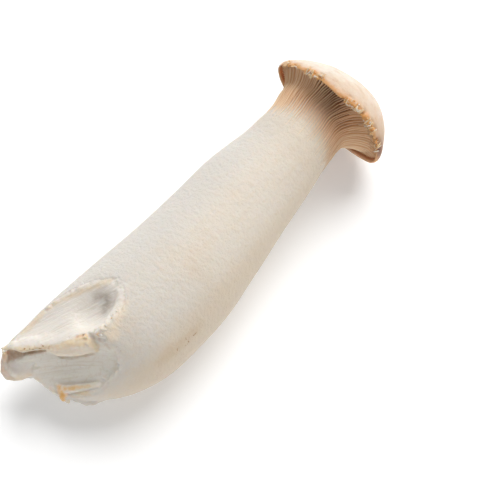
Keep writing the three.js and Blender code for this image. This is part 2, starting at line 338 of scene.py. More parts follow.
def noise(points, size, seed=0):
    """Smooth noise from -1 to 1. size is how far apart its bumps are, one number or one for each axis."""
    p = np.asarray(points, float) / size + 17.31 * seed
    cell = np.floor(p).astype(np.int64)
    t = p - cell
    t = t * t * t * (t * (t * 6 - 15) + 10)
    total = 0.0
    for corner in np.ndindex(2, 2, 2):
        c = (cell + corner) & 0xFFFFF
        h = c[..., 0] * 374761393 + c[..., 1] * 668265263 + c[..., 2] * 2246822519 + seed * 3266489917
        h = h & 0xFFFFFFFF
        h = ((h ^ (h >> 13)) * 1274126177) & 0xFFFFFFFF
        value = (h ^ (h >> 16)) / 0x7FFFFFFF - 1.0
        total = total + value * np.prod(np.where(corner, t, 1 - t), axis=-1)
    return total


def fractal(points, size, octaves, seed=0):
    size = np.asarray(size, float)
    return sum(noise(points, size / 2**k, seed + k) / 2**k for k in range(octaves))


PLACES = np.linspace(0, 17.5, 3000)
ALONGS = section(PLACES)[:, 0]


def skin_distance(points):
    """About how far outside the smooth skin a point is. It holds as far as the neck."""
    s = section(np.interp(points[..., 0], ALONGS, PLACES))
    wide, deep = np.maximum(s[..., 3], 0.05), np.maximum(s[..., 4], 0.05)
    out = np.hypot((points[..., 1] - s[..., 1]) / wide, (points[..., 2] - s[..., 2]) / deep)
    aside = (out - 1) * np.minimum(wide, deep)
    before = SECTIONS[0, 0] - points[..., 0]
    return np.where(before > 0, np.hypot(before, np.maximum(aside, 0)), aside)


def hollow_axes(hollow):
    out = unit(hollow["facing"])
    across = unit(np.cross(hollow["runs"], out))
    return np.cross(out, across), across, out


def hollow_distance(points, hollow):
    """About how far outside a hollow's cutter a point is."""
    length, width, depth = hollow["half"]
    lengthways, across, out = hollow_axes(hollow)
    q = points - (np.array(hollow["floor"]) + out * depth)
    height = q @ out
    height = np.where(height > 0, height / (depth * OPENING), height / depth)
    r = np.sqrt((q @ lengthways / length) ** 2 + (q @ across / width) ** 2 + height**2)
    return (r - 1) * depth


def smooth_max(a, b, radius):
    h = np.maximum(radius - np.abs(a - b), 0.0) / radius
    return np.maximum(a, b) + h * h * radius / 4


def strand_distance(points, nodes, facing=(0.0, 0.0, 1.0), flat=1.0):
    """About how far outside a form that follows nodes (along, left, up, half width) a point is."""
    face = unit(facing)
    nodes = np.array(nodes)
    nearest = np.full(points.shape[:-1], np.inf)
    for (*a, wide_a), (*b, wide_b) in zip(nodes[:-1], nodes[1:]):
        a, way = np.array(a), np.array(b) - np.array(a)
        t = np.clip((points - a) @ way / (way @ way), 0.0, 1.0)
        q = points - a - t[..., None] * way
        height = q @ face
        side = np.maximum(np.sum(q * q, axis=-1) - height**2, 0.0)
        wide = wide_a + t * (wide_b - wide_a)
        nearest = np.minimum(nearest, (np.sqrt(side + (height / flat) ** 2) - wide) * min(flat, 1.0))
    return nearest


def close_to(points, nodes, margin):
    """Which points are within a margin of a form's nodes."""
    nodes = np.array(nodes)
    low = (nodes[:, :3] - nodes[:, 3:]).min(axis=0) - margin
    high = (nodes[:, :3] + nodes[:, 3:]).max(axis=0) + margin
    return np.all((points > low) & (points < high), axis=-1)


def ragged_stretches(points):
    """How ragged a torn edge is, which changes every few millimetres."""
    return 0.3 + 0.7 * smoothstep(-0.3, 0.4, noise(points, 6.0, 15))


def scar_distances(points):
    """How deep a point is in the upper and in the lower hollow, with their fibres and ragged edges."""
    skin = skin_distance(points)
    upper = smooth_max(-hollow_distance(points, UPPER_SCAR), -hollow_distance(points, DENT), 2.8)
    lower = -hollow_distance(points, LOWER_SCAR)
    result = []
    for scar, hollow, seed, rag in ((upper, UPPER_SCAR, 3, 1.0), (lower, LOWER_SCAR, 9, 0.4)):
        ways = np.stack(hollow_axes(hollow), -1)
        fibres = fractal(points @ ways, (9.0, 0.9, 0.9), 3, seed)
        swell = noise(points @ ways, (9.0, 3.5, 3.5), seed + 5)
        edge = np.exp(-(((scar - skin) / 0.9) ** 2)) * ragged_stretches(points)
        result.append(scar + 0.08 * fibres + 0.14 * swell + edge * rag * 0.3 * fractal(points, 1.5, 3, seed))
    return skin, result[0], result[1]


def base_field(points):
    """How far outside the torn base a point is."""
    skin, upper, lower = scar_distances(points)
    seam = np.exp(-((upper / 0.5) ** 2)) * np.maximum(0.06 + 0.24 * fractal(points, 1.3, 2, 5), 0)
    seam = seam * ragged_stretches(points)
    skin = skin - seam - 0.1 * noise(points, (16.0, 5.0, 5.0), 2)
    rounding = 0.3 + 0.9 * smoothstep(-0.4, 0.8, lower - upper) + 1.4 * smoothstep(35.0, 42.0, points[..., 0])
    body = smooth_max(skin, smooth_max(upper, lower, 0.5), rounding)
    walls = [(points - np.array(place)) @ unit(way) for place, way in NOTCH]
    ragged = np.minimum(*walls) + 0.3 * fractal(points, 2.2, 2, 21)
    body = smooth_max(body, ragged, 0.9)
    for adds, facing, flat, rounding, nodes in FORMS:
        close = close_to(points, nodes, FORM_MARGIN)
        if not close.any():
            continue
        p = points[close]
        distance = strand_distance(p, nodes, facing, flat) + 0.16 * fractal(p, 1.5, 2, 31)
        sign = -1 if adds else 1
        body[close] = sign * smooth_max(sign * body[close], -distance, rounding)
    return body


def strand_share(points, strands, softness):
    """The strength at each point of what follows some strands, which fades over a softness."""
    share = np.zeros(points.shape[:-1])
    for strength, nodes in strands:
        close = close_to(points, nodes, 2.0 + 2.0 * softness)
        away = strand_distance(points[close], nodes) + 0.4 * noise(points[close], 1.3, 51)
        share[close] = np.maximum(share[close], strength * (1 - smoothstep(-softness, 1.6 * softness, away)))
    return share


def torn_shares(points):
    """Shares at each point: torn flesh, how far that is the lower scar, and the strength of each of the
    stains and of the painted shade.
    """
    skin, upper, lower = scar_distances(points)
    right = 0.25 * smoothstep(12.0, 8.0, points[..., 1])
    torn = np.maximum(smoothstep(-0.3, 0.2, upper - skin + right), smoothstep(-0.5, 0.9, lower - skin))
    depth = smoothstep(0.1, 2.6, lower - skin)
    shares = {"torn": torn, "lower": smoothstep(-0.3, 0.3, lower - upper) * (0.35 + 0.65 * depth)
              * smoothstep(5.0, 13.0, points[..., 0])}
    for name, strands in STAINS_AND_SHADE.items():
        shares[name] = strand_share(points, strands, SOFTNESS.get(name, 0.45))
    return shares


def field_near_surface(low, high, step, coarse=4):
    """The base's field on a grid, worked out in full only near the surface."""
    counts = np.ceil((high - low) / step / coarse).astype(int) * coarse
    axes = [low[k] + step * np.arange(counts[k]) for k in range(3)]
    middle = [axis[coarse // 2::coarse] for axis in axes]
    blocks = np.stack(np.meshgrid(*middle, indexing="ij"), -1)
    values = base_field(blocks.reshape(-1, 3)).reshape(blocks.shape[:-1])
    for k in range(3):
        values = np.repeat(values, coarse, axis=k)
    near = np.argwhere(np.abs(values) < NEAR_SURFACE)
    points = low + step * near
    values[tuple(near.T)] = base_field(points)
    return values


def part_sheets(values, step):
    """Nudges a field where two sheets of its surface would share an edge, so that they meet or part."""
    for _ in range(4):
        for a, b in ((0, 1), (0, 2), (1, 2)):
            view = np.moveaxis(values, (a, b), (0, 1))
            inside = view < 0
            square = inside[:-1, :-1], inside[1:, :-1], inside[:-1, 1:], inside[1:, 1:]
            crossed = (square[0] == square[3]) & (square[1] == square[2]) & (square[0] != square[1])
            for i, j, k in np.argwhere(crossed):
                corners = [(i, j, k), (i + 1, j, k), (i, j + 1, k), (i + 1, j + 1, k)]
                least = min(corners, key=lambda corner: abs(view[corner]))
                view[least] = -0.1 * step * np.sign(view[least])
    return values


def surface_net(values, low, step):
    """Quads on the zero surface of a field on a grid, open where it leaves the far end of the first axis."""
    shape = np.array(values.shape)
    cells, crossings, quads = [], [], []
    for axis in range(3):
        ahead = np.take(values, range(1, shape[axis]), axis)
        behind = np.take(values, range(shape[axis] - 1), axis)
        at = np.argwhere((ahead < 0) != (behind < 0))
        others = [k for k in range(3) if k != axis]
        inner = np.all(at[:, others] > 0, axis=1) & np.all(at[:, others] < shape[others] - 1, axis=1)
        if axis == 0:
            inner &= at[:, 0] < shape[0] - 2
        at = at[inner]
        b, a = behind[tuple(at.T)], ahead[tuple(at.T)]
        place = at.astype(float)
        place[:, axis] += b / (b - a)
        ring = []
        for first, second in ((0, 0), (1, 0), (1, 1), (0, 1)):
            cell = at.copy()
            cell[:, others[0]] -= first
            cell[:, others[1]] -= second
            ring.append(np.ravel_multi_index(tuple(cell.T), shape))
            cells.append(ring[-1])
            crossings.append(place)
        ring = np.stack(ring, -1)
        flip = (b < 0) == (axis != 1)
        quads.append(np.where(flip[:, None], ring, ring[:, ::-1]))
    quads = np.concatenate(quads)
    names, quads = np.unique(quads, return_inverse=True)
    quads = quads.reshape(-1, 4)
    where = np.searchsorted(names, np.concatenate(cells))
    share = np.bincount(where)
    crossings = np.concatenate(crossings)
    points = np.stack([np.bincount(where, crossings[:, k]) / share for k in range(3)], -1)
    last_layer = names // (shape[1] * shape[2]) == shape[0] - 2
    return low + step * points, quads, last_layer


def settle(points, step):
    """Points moved onto the base's surface along its slope."""
    for _ in range(2):
        value = base_field(points)
        slope = []
        for k in range(3):
            nudge = np.eye(3)[k] * SLOPE_STEP
            slope.append((base_field(points + nudge) - base_field(points - nudge)) / (2 * SLOPE_STEP))
        slope = np.stack(slope, -1)
        move = value / np.maximum(np.sum(slope * slope, axis=-1), 0.3)
        points = points - np.clip(move, -0.3 * step, 0.3 * step)[:, None] * slope
    return points


def to_rest(points):
    """From the stem's own frame in millimetres to the frame at rest in metres."""
    x, y, z = np.moveaxis(np.asarray(points, float), -1, 0)
    c, s = math.cos(ROLL), math.sin(ROLL)
    rolled = np.stack([x - BOX_MIDDLE[0], y * c - z * s - BOX_MIDDLE[1], y * s + z * c + REST_HEIGHT], -1)
    rolled[..., 2] = np.maximum(rolled[..., 2], 0)
    return rolled * MM


def row_places():
    """Places of the rows past the torn base, by their distance along the profile."""
    first = float(np.interp(NET_END + 0.5, ALONGS, PLACES))
    fine = np.linspace(first, SPANS, 6000)
    s = section(fine)
    travelled = np.concatenate([[0], np.cumsum(np.hypot(np.diff(s[:, 0]), np.diff(s[:, 3])))])
    places = []
    for start, end, step in STRETCHES:
        a, b = np.interp([max(start, first), end], fine, travelled)
        rows = max(2, round((b - a) / step))
        places.append(np.interp(np.linspace(a, b, rows, endpoint=False), travelled, fine))
    return np.concatenate(places)


def row_skin(places):
    """Rows of points on the flesh past the torn base, with the swells of the skin and the crumbled rim."""
    angles = np.arange(COLUMNS) / COLUMNS * 2 * np.pi
    rows = skin_point(places[:, None], angles[None, :])
    out = unit(np.cross(np.roll(rows, -1, 1) - np.roll(rows, 1, 1), np.gradient(rows, axis=0)))
    place = places[:, None]
    swell = 0.1 * noise(rows, (16.0, 5.0, 5.0), 2)
    swell = swell + 0.12 * smoothstep(RIM, RIM + 1, place) * noise(rows, 4.5, 6)
    crumbs = crumbled(rows, place)
    return rows + out * (swell + crumbs * (1.0 * fractal(rows, 1.9, 2, 41) - 0.15))[..., None]


def crumbled(points, place):
    """How crumbled the margin of the cap is, which is most on the side that lies up and to the right."""
    band = smoothstep(GILL_END + 0.1, GILL_END + 0.7, place) * (1 - smoothstep(RIM - 0.2, RIM + 1.1, place))
    side = smoothstep(-6, 8, points[..., 2] - 0.25 * points[..., 1])
    return band * side * smoothstep(-0.35, 0.25, noise(points, 5.0, 44) + 0.42)


def bruised(place, angle):
    """How much the cap is bruised: most at the lower right of its margin, and along the rim at its left."""
    right = 1.1 * np.exp(-(((place - 21.4) / 1.3) ** 2) - ((angle - 2.76) / 0.3) ** 2)
    left = 0.3 * np.exp(-(((place - 20.0) / 0.7) ** 2) - ((angle - 6.0) / 0.45) ** 2)
    return right + left


def painted_cap_shade(place, angle):
    """Painted shade on the cap: on its right flank and towards its crown."""
    flank = 0.45 * np.exp(-(((place - 22.6) / 1.7) ** 2) - ((angle - 2.45) / 0.6) ** 2)
    return np.maximum(flank, 0.4 * smoothstep(23.0, 25.0, place))


def join(loop, ring):
    """Triangles between two loops of points round the stem, each given as numbers and turns round it."""
    faces = []
    (names, turns), (ring_names, ring_turns) = loop, ring
    a = b = 0
    while a < len(names) or b < len(ring_names):
        here, there = names[a % len(names)], ring_names[b % len(ring_names)]
        next_a = turns[(a + 1) % len(names)] + (a + 1) // len(names)
        next_b = ring_turns[(b + 1) % len(ring_names)] + (b + 1) // len(ring_names)
        if b == len(ring_names) or (a < len(names) and next_a <= next_b):
            faces.append((here, names[(a + 1) % len(names)], there))
            a += 1
        else:
            faces.append((here, ring_names[(b + 1) % len(ring_names)], there))
            b += 1
    return faces


def turns_round(points, place):
    middle = section(place)
    left = (points[:, 1] - middle[1]) / middle[3]
    up = (points[:, 2] - middle[2]) / middle[4]
    return np.arctan2(up, left) / (2 * np.pi) % 1


# ---- Meshes ----

def number_rows(rows, first):
    """Numbers of the first row's points, quads between rows, and triangles from the last row to the crown."""
    number = first + np.arange(len(rows) * COLUMNS).reshape(-1, COLUMNS)
    after = np.roll(number, -1, axis=1)
    walls = np.stack([number[:-1], after[:-1], after[1:], number[1:]], -1).reshape(-1, 4)
    crown = np.full(COLUMNS, first + number.size)
    return number[0], walls, np.stack([number[-1], after[-1], crown], -1)


def unwrap(mesh, turn, place):
    """Turns round the stem and places along it as UVs, with no face running backwards over the seam."""
    corners = np.empty(len(mesh.loops), int)
    mesh.loops.foreach_get("vertex_index", corners)
    face_of = np.repeat(np.arange(len(mesh.polygons)), [face.loop_total for face in mesh.polygons])
    u = turn[corners]
    lowest, highest = np.ones(len(mesh.polygons)), np.zeros(len(mesh.polygons))
    np.minimum.at(lowest, face_of, u)
    np.maximum.at(highest, face_of, u)
    u = np.where((highest - lowest > 0.5)[face_of] & (u < 0.5), u + 1, u)
    layer = mesh.uv_layers.new(name="round_and_along")
    layer.data.foreach_set("uv", np.stack([u, place[corners] / SPANS], -1).ravel())


def paint(mesh, name, values):
    """A number at each vertex that materials read."""
    data = mesh.attributes.new(name, "FLOAT", "POINT").data
    data.foreach_set("value", np.asarray(values, np.float32).ravel())


def paint_net(mesh, points, count):
    """What only the torn base has: its shares, stains and the way its fibres run."""
    net = points[:count]
    shares = torn_shares(net)
    for name, values in shares.items():
        paint(mesh, name, np.concatenate([values, np.zeros(len(points) - count)]))
    torn, lower = (shares[name][:, None] > 0.5 for name in ("torn", "lower"))
    upper_fibres, lower_fibres = (net @ np.stack(hollow_axes(scar), -1) for scar in (UPPER_SCAR, LOWER_SCAR))
    grain = points.copy()
    grain[:count] = np.where(torn, np.where(lower, lower_fibres, upper_fibres), net)
    mesh.attributes.new("grain", "FLOAT_VECTOR", "POINT").data.foreach_set("vector", (grain * MM).ravel())


def paint_rest(mesh, points, count, place, turn):
    """What goes by the place on the whole mushroom, most of it only past the torn base."""
    past = np.arange(len(points)) >= count
    angle = turn * 2 * np.pi
    crumbs = crumbled(points, place) * past
    loose = np.concatenate([strand_share(points[:count], LOOSE, 0.4), crumbs[count:]])
    for name, values in (
        ("place", place),
        ("crumbled", crumbs),
        # Painted shade in the hollows of the crumbled margin, where its relief sinks in.
        ("pit_shade", crumbs * smoothstep(-0.05, -0.42, fractal(points, 1.9, 2, 41))),
        ("loose", loose),
        ("bruised", bruised(place, angle) * past),
        # Painted shade on the cap's right flank and towards its crown.
        ("painted_cap_shade", painted_cap_shade(place, angle) * past),
        ("side", points[:, 1] / 20),
        ("near_side", smoothstep(-4, 8, points[:, 2] - 0.25 * points[:, 1]) * past),
    ):
        paint(mesh, name, values)


def collapse_short_edges(mesh, least):
    work = bmesh.new()
    work.from_mesh(mesh)
    bmesh.ops.dissolve_degenerate(work, dist=least, edges=work.edges)
    work.to_mesh(mesh)
    work.free()


def flesh_mesh():
    """The net of the torn base and the rows of the rest as one closed mesh, with what is painted on it."""
    values = part_sheets(field_near_surface(NET_LOW, NET_HIGH, NET_STEP), NET_STEP)
    net, quads, last_layer = surface_net(values, NET_LOW, NET_STEP)
    net = settle(net, NET_STEP)
    places = row_places()
    rows = row_skin(places)
    first_row, walls, cap = number_rows(rows, len(net))
    columns = np.arange(COLUMNS) / COLUMNS
    net_turn = turns_round(net, float(places[0]))
    edge = np.flatnonzero(last_layer)
    edge = edge[np.argsort(net_turn[edge])]
    seam = join((edge, net_turn[edge]), (first_row, columns))
    points = np.concatenate([net, rows.reshape(-1, 3), SECTIONS[-1:, :3]])
    turn = np.concatenate([net_turn, np.tile(columns, len(rows)), [0.5]])
    place = np.concatenate([np.interp(net[:, 0], ALONGS, PLACES), np.repeat(places, COLUMNS), [SPANS]])
    faces = quads.tolist() + walls.tolist() + [list(face) for face in seam] + cap.tolist()
    mesh = bpy.data.meshes.new("flesh")
    mesh.from_pydata(to_rest(points).tolist(), [], faces)
    unwrap(mesh, turn, place)
    mesh.shade_smooth()
    paint_net(mesh, points, len(net))
    paint_rest(mesh, points, len(net), place, turn)
    collapse_short_edges(mesh, SHORTEST_EDGE)
    return mesh


def new_object(name, data):
    obj = bpy.data.objects.new(name, data)
    bpy.context.scene.collection.objects.link(obj)
    return obj


def place_on_mushroom(obj):
    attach(obj, "root")
    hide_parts(NODE)


# ---- Node trees ----

class Value:
    """An output of a node. Sums of values are written as formulas, and each makes a node."""

    def __init__(self, tree, socket):
        self.tree = tree
        self.socket = socket

    def calc(self, operation, *others, **settings):
        values = enumerate((self, *others))
        return add_value(self.tree, "ShaderNodeMath", values, operation=operation, **settings)

    def __add__(self, other):
        return self.calc("ADD", other)

    def __sub__(self, other):
        return self.calc("SUBTRACT", other)

    def __rsub__(self, other):
        return add_value(self.tree, "ShaderNodeMath", {0: other, 1: self}, operation="SUBTRACT")

    def __mul__(self, other):
        return self.calc("MULTIPLY", other)

    def __truediv__(self, other):
        return self.calc("DIVIDE", other)


def feed(socket, value):
    """Links a value to an input, or sets the input to it."""
    if isinstance(value, Value):
        value.tree.links.new(value.socket, socket)
    elif socket.type == "RGBA":
        socket.default_value = (*value, 1.0)
    else:
        socket.default_value = value


def add_node(tree, kind, inputs=(), **settings):
    """A node with its settings, and its inputs by name or number."""
    made = tree.nodes.new(kind)
    for key, value in settings.items():
        setattr(made, key, value)
    for key, value in dict(inputs).items():
        feed(made.inputs[key], value)
    return made


def add_value(tree, kind, inputs=(), output=0, **settings):
    """One output of a new node, by name or number."""
    return Value(tree, add_node(tree, kind, inputs, **settings).outputs[output])


def vector_calc(operation, first, *others):
    values = enumerate((first, *others))
    return add_value(first.tree, "ShaderNodeVectorMath", values, operation=operation)


def scaled(vector, factor):
    return add_value(vector.tree, "ShaderNodeVectorMath", {0: vector, "Scale": factor}, operation="SCALE")


def combined(tree, x, y, z=0.0):
    return add_value(tree, "ShaderNodeCombineXYZ", {"X": x, "Y": y, "Z": z})


def ramp(value, low, high, to_low=0.0, to_high=1.0):
    """A smooth step of a value between two limits."""
    inputs = {"Value": value, "From Min": low, "From Max": high, "To Min": to_low, "To Max": to_high}
    return add_value(value.tree, "ShaderNodeMapRange", inputs, "Result", interpolation_type="SMOOTHSTEP")


def attribute(tree, name, output="Fac"):
    return add_value(tree, "ShaderNodeAttribute", output=output, attribute_name=name)


def noise_texture(vector, size, stretch=(1, 1, 1), detail=4.0, roughness=0.55):
    """Noise whose bumps are a size apart, in metres, times the stretch along each axis."""
    fitted = vector_calc("MULTIPLY", vector, tuple(1 / (size * s) for s in stretch))
    inputs = {"Vector": fitted, "Scale": 1.0, "Detail": detail, "Roughness": roughness}
    return add_value(vector.tree, "ShaderNodeTexNoise", inputs, "Fac")


def mix_colour(factor, a, b):
    return add_value(factor.tree, "ShaderNodeMix", {0: factor, 6: a, 7: b}, 2, data_type="RGBA")


def layered(colour, *layers):
    """A colour with others laid over it in turn, each as a factor and a colour."""
    for factor, over in layers:
        colour = mix_colour(factor, colour, over)
    return colour


# ---- Materials ----

def new_material(name):
    """A material with its tree, its shader and the place on the object, for patterns."""
    material = bpy.data.materials.new(name)
    material.use_nodes = True
    tree = material.node_tree
    tree.nodes.clear()
    shader = add_node(tree, "ShaderNodeBsdfPrincipled")
    out = add_node(tree, "ShaderNodeOutputMaterial")
    tree.links.new(shader.outputs[0], out.inputs[0])
    return material, tree, shader, add_value(tree, "ShaderNodeTexCoord", output="Object")


def set_inputs(shader, **inputs):
    for name, value in inputs.items():
        feed(shader.inputs[name.replace("_", " ")], value)


def soft_flesh(shader, colour, roughness, subsurface, depth):
    set_inputs(shader, Base_Color=colour, Roughness=roughness, Specular_IOR_Level=0.3,
               Subsurface_Weight=subsurface, Subsurface_Radius=(1.0, 0.55, 0.3), Subsurface_Scale=depth)


def stem_colour(colours, share, where, grain, wrinkles, pores):
    """Skin of the stem, down to the bed that the gills stand on. It is cooler and darker towards the base and
    on the left flank, which is painted shade, and warmer on the right flank, which is painted bounce light;
    the bed between the gills is painted darker as shade.
    """
    place, side, tan_and_bounce = share("place"), share("side"), colours.stem_tan_and_bounce
    blotches = noise_texture(where, 0.022, detail=5.0)
    streaks = noise_texture(grain, 0.0014, (16, 1, 1), detail=3.0)
    specks = noise_texture(grain, 0.0022, (1.6, 1, 1), detail=2.0)
    pored = ramp(pores, 0.5, 0.68, 0.0, 0.22) * ramp(side, -0.2, -0.8, 1.0, 2.2)
    streaked = place + streaks * 1.2 + ramp(side, 0.1, -0.6, 0.0, 0.8)
    return layered(
        colours.stem,
        # Painted shade: cooler and darker towards the base.
        (ramp(place + blotches, 10.2, 5.8), colours.stem_cool_shade),
        (ramp(blotches, 0.45, 0.75, 0.0, 0.6), tan_and_bounce),
        (ramp(streaks, 0.45, 0.8, 0.0, 0.25), tan_and_bounce),
        (ramp(specks, 0.64, 0.78, 0.0, 0.24), tan_and_bounce),
        (ramp(wrinkles, 0.5, 0.7, 0.0, 0.25), tan_and_bounce),
        (pored, tan_and_bounce),
        # Painted shade: cooler and darker on the left flank.
        (ramp(side, 0.1, 0.75, 0.0, 0.95), colours.stem_cool_shade),
        # Painted bounce light: warmer on the right flank.
        (ramp(side, -0.4, -0.85, 0.0, 0.75), tan_and_bounce),
        (ramp(streaked, 10.6, 13.4, 0.0, 0.45), tan_and_bounce),
        (ramp(streaked, 13.2, 16.2), colours.gill),
        # Painted shade: the bed darker where the gills stand.
        (ramp(place, 14.1, 16.1), colours.gill_bed_shade),
    )


def cap_colour(colours, share, where, fleck):
    """Skin of the cap, with its rusty and crumbled margin, and painted shade on its right flank, towards its
    crown and in the hollows of its margin.
    """
    place, side = share("place"), share("side")
    mottle = noise_texture(where, 0.006, detail=7.0, roughness=0.7)
    veins = noise_texture(where, 0.0028, (0.7, 2.6, 1), detail=5.0)
    inward = place + ramp(side, 0.0, 0.5, 0.0, 0.7)
    band = ramp(place + fleck * 0.9, 21.9, 21.2) * share("near_side")
    return layered(
        colours.cap,
        (ramp(mottle, 0.4, 0.66), colours.cap_warm),
        (ramp(veins, 0.54, 0.68, 0.0, 0.36), colours.brown_and_painted_shade),
        # Painted shade, darker towards the crown.
        (ramp(place + mottle * 2.4, 24.6, 27.4, 0.0, 0.5), colours.brown_and_painted_shade),
        (ramp(inward, 23.0, 20.8, 0.0, 0.62), colours.cap_edge),
        # Painted shade on the right flank and towards the crown, in the margin's colour.
        (share("painted_cap_shade"), colours.cap_edge),
        (band * 0.72, colours.rust),
        (share("crumbled") * 0.85, mix_colour(ramp(fleck, 0.56, 0.7), colours.rust, colours.straw)),
        # Painted shade in those hollows.
        (share("pit_shade") * 0.8, colours.specks),
        (share("bruised").calc("MULTIPLY", 1.0, use_clamp=True), colours.bruise),
    )


def torn_colour(colours, share, where, grain):
    """Flesh of the two scars, with its fibres and creases."""
    lower = share("lower")
    fibres = noise_texture(grain, 0.0008, (14, 1, 1), detail=4.0)
    creases = noise_texture(where, 0.0012, (1, 1, 2.2), detail=4.0, roughness=0.6)
    return layered(
        colours.torn,
        (lower, colours.torn_grey),
        (ramp(fibres, 0.48, 0.74, 0.0, 0.32) * (lower + 1.0), colours.fibre),
        (ramp(creases, 0.5, 0.66, 0.0, 0.5) * lower, colours.fibre),
    )


def flesh_material(colours):
    """Stem, torn base, gill bed and cap in one skin, by the shares painted on it."""
    material, tree, shader, where = new_material("mushroom_flesh")

    def share(name):
        return attribute(tree, name)

    grain = attribute(tree, "grain", "Vector")
    wrinkles = noise_texture(where, 0.0018, (1, 1.7, 1.7), detail=5.0, roughness=0.65)
    pores = noise_texture(where, 0.0011, detail=4.0, roughness=0.6)
    fleck = noise_texture(where, 0.0011, detail=3.0)
    colour = layered(
        stem_colour(colours, share, where, grain, wrinkles, pores),
        (ramp(share("place"), 19.3, 19.7), cap_colour(colours, share, where, fleck)),
        (share("torn"), torn_colour(colours, share, where, grain)),
    )
    # Each of the stains and of the painted shade, laid over the colour in turn.
    for mark in STAINS_AND_SHADE:
        low, high, least = STAIN_UNEVENNESS.get(mark, (0.25, 0.6, 0.55))
        colour = mix_colour(share(mark) * ramp(fleck, low, high, least), colour, getattr(colours, mark))
    fine = noise_texture(grain, 0.0008, (10, 1, 1), detail=5.0)
    relief = fine * ramp(share("torn"), 0.0, 1.0, 0.2, 0.7)
    relief = relief + (wrinkles + pores * 0.7) * ramp(share("torn"), 0.0, 1.0, 1.2, 0.25)
    bump = add_value(tree, "ShaderNodeBump", {"Strength": 0.5, "Distance": 0.0008, "Height": relief})
    set_inputs(shader, Normal=bump)
    soft_flesh(shader, colour, 0.62, 0.3, 0.004)
    return material


def gill_material(colours):
    """Blades pale at the neck and along their edges, and darker towards their roots, which is painted shade
    between them.
    """
    material, tree, shader, _ = new_material("gill_blades")
    rise, run = attribute(tree, "rise"), attribute(tree, "run")
    tone = mix_colour(ramp(run, 0.0, 0.34), colours.stem, colours.gill)
    # Painted shade: darker towards the roots, most in the middle of the run.
    deep = mix_colour(ramp(run, 0.08, 0.42), colours.gill, colours.gill_bed_shade)
    tone = layered(deep, (ramp(rise, 0.0, 0.8), tone), (ramp(rise, 0.86, 1.0, 0.0, 0.8), colours.gill_edge))
    soft_flesh(shader, tone, 0.6, 0.12, 0.001)
    return material


def crumb_material(colours):
    """Dry crumbs: white on the torn base, and from white to rust on the margin of the cap."""
    material, tree, shader, where = new_material("dry_crumbs")
    shade, place = attribute(tree, "shade"), attribute(tree, "place")
    margin = mix_colour(ramp(shade, 0.35, 0.75), colours.rust, colours.straw)
    margin = mix_colour(ramp(shade, 0.75, 0.95), margin, colours.torn)
    base = mix_colour(ramp(shade, 0.7, 1.0), colours.torn, colours.straw)
    mottle = noise_texture(where, 0.0005, detail=2.0)
    tone = mix_colour(ramp(place, 10.0, 12.0), base, margin)
    tone = mix_colour(ramp(mottle, 0.45, 0.7, 0.0, 0.3), tone, colours.cap_edge)
    soft_flesh(shader, tone, 0.7, 0.2, 0.001)
    return material


# ---- Geometry trees ----

def new_group(name, kinds, output):
    """A geometry tree that takes the flesh and named inputs, and what comes in through them."""
    tree = bpy.data.node_groups.new(name, "GeometryNodeTree")
    kinds = {"Flesh": "Geometry", **kinds}
    for label, kind in kinds.items():
        tree.interface.new_socket(label, in_out="INPUT", socket_type="NodeSocket" + kind)
    tree.interface.new_socket(output, in_out="OUTPUT", socket_type="NodeSocketGeometry")
    outputs = tree.nodes.new("NodeGroupInput").outputs
    return tree, {label: Value(tree, outputs[label]) for label in kinds}


def named_attribute(tree, name, kind):
    return add_value(tree, "GeometryNodeInputNamedAttribute", {"Name": name}, data_type=kind)


def store(shape, name, value, kind, domain):
    inputs = {"Geometry": shape, "Name": name, "Value": value}
    return add_value(shape.tree, "GeometryNodeStoreNamedAttribute", inputs, data_type=kind, domain=domain)


def position(tree):
    return add_value(tree, "GeometryNodeInputPosition")


def random_value(low, high, inputs):
    """A random number. The node has one pair of limits for each kind of value; these are those of numbers."""
    tree = inputs["Seed"].tree
    return add_value(tree, "FunctionNodeRandomValue", {**inputs, 2: low, 3: high}, 1, data_type="FLOAT")


def finish_group(shape, material):
    """Smooths, realizes and dresses what a tree has made, and hands it out."""
    tree = shape.tree
    shape = add_value(tree, "GeometryNodeSetShadeSmooth", {"Geometry": shape})
    shape = add_value(tree, "GeometryNodeRealizeInstances", {0: shape})
    shape = add_value(tree, "GeometryNodeSetMaterial", {"Geometry": shape, "Material": material})
    feed(tree.nodes.new("NodeGroupOutput").inputs[0], shape)
    return tree


